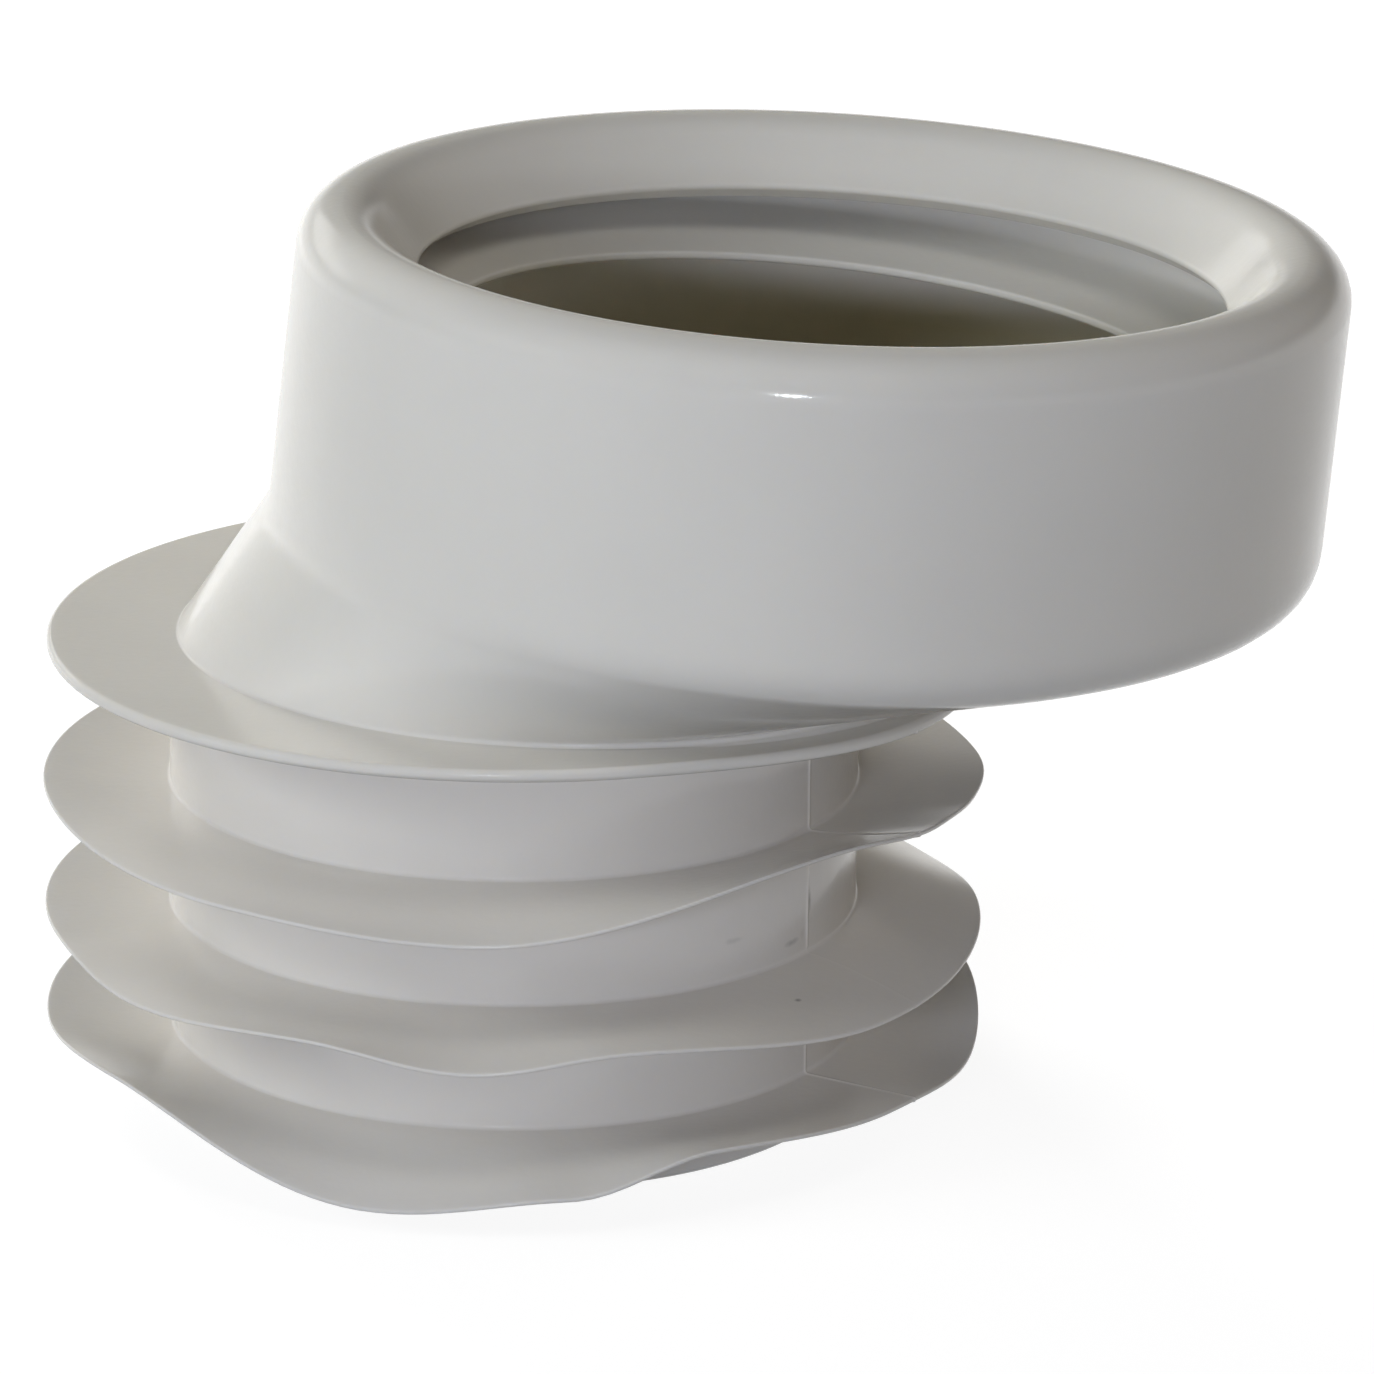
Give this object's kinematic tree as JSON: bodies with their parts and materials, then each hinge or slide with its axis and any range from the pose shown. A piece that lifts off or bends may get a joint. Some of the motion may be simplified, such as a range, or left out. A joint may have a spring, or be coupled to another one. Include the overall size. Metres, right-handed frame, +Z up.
{
  "type": "toilet pan connector",
  "caption": "Soft plastic offset connector that joins a toilet pan outlet to a soil pipe: a lipped inlet cup set over a finned outlet spigot.",
  "frame": {"origin": "centre of the outlet end of the spigot, on the spigot's axis", "axes": "+Z up along the spigot towards the inlet cup, +X the way the cup is set over"},
  "size_m": [0.1572, 0.1272, 0.1104],
  "materials": {
    "soft_plastic": "smooth off-white soft plastic, satin with a slight gloss on the cup"
  },
  "bodies": {
    "root": {"pan_connector": "soft_plastic"}
  },
  "joints": []
}
